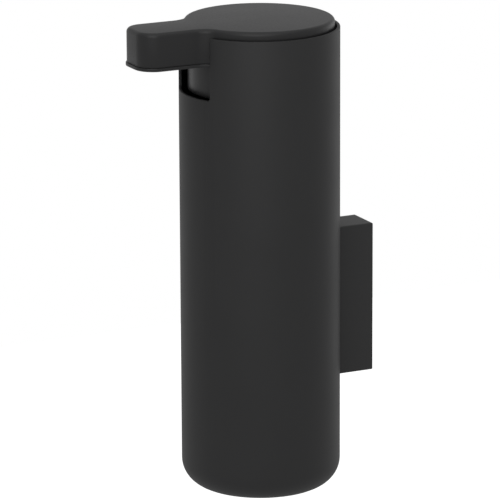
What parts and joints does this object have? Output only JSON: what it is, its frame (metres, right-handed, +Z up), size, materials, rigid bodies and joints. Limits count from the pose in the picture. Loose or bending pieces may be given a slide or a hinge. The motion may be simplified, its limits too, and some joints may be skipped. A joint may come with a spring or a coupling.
{
  "type": "wall mounted soap dispenser",
  "caption": "Matte black round tube on a slim wall bracket, with a lift-out soap container and a press-down pump head whose flat spout arm runs in a slot at the tube's rim.",
  "frame": {"origin": "on the wall plane, at the centre of the bracket's back face, midway between the two wall screws", "axes": "+Y points into the wall, +Z is up along the tube, and the spout points along -Y"},
  "size_m": [0.06, 0.096, 0.1797],
  "materials": {
    "black_coated_steel": "matte black coating on steel",
    "black_coated_metal": "matte black coating",
    "plain_steel": "plain",
    "black_screw": "black oxide",
    "container_plastic": "frosted",
    "pump_plastic": "as moulded",
    "soft_rubber": "matte",
    "steel_ball": "polished",
    "clear_tube": "milky",
    "soft_seal": "as moulded",
    "spring_steel": "drawn wire",
    "inner_black_plastic": "as moulded",
    "nozzle_plastic": "satin",
    "black_plastic": "fine matte texture"
  },
  "bodies": {
    "housing": {"tube_housing": "black_coated_steel", "bracket_block": "black_coated_metal", "wall_plate": "plain_steel", "grub_screw": "black_screw", "bracket_screws": "plain_steel"},
    "container": {"container": "container_plastic"},
    "pump": {"pump_carrier": "pump_plastic", "seal_ring": "soft_rubber", "pump_collar": "pump_plastic", "neck_gasket": "soft_rubber", "pump_cylinder": "pump_plastic", "dip_tube": "clear_tube", "stem_guide": "pump_plastic", "return_spring": "spring_steel"},
    "valve_ball": {"inlet_ball": "steel_ball"},
    "head": {"head_cap": "black_plastic", "spout_cover": "black_plastic", "head_skirt": "black_plastic", "soap_channel": "inner_black_plastic", "nozzle_tip": "nozzle_plastic", "pump_stem": "pump_plastic", "piston_plug": "pump_plastic"},
    "piston": {"piston_seal": "soft_seal"}
  },
  "joints": [
    {"name": "container_lift", "type": "slide", "parent": "housing", "child": "container", "axis": [0, 0, 1], "range_m": [0, 0.18]},
    {"name": "pump_lift", "type": "slide", "parent": "container", "child": "pump", "axis": [0, 0, 1], "range_m": [0, 0.14]},
    {"name": "pump_press", "type": "slide", "parent": "pump", "child": "head", "axis": [0, 0, -1], "range_m": [0, 0.011], "stiffness_N_per_m": 500, "springref_m": -0.016, "deforming": ["return_spring"]},
    {"name": "inlet_ball_lift", "type": "slide", "parent": "pump", "child": "valve_ball", "axis": [0, 0, 1], "range_m": [0, 0.0015]},
    {"name": "piston_slip", "type": "slide", "parent": "head", "child": "piston", "axis": [0, 0, 1], "range_m": [0, 0.0014]}
  ]
}
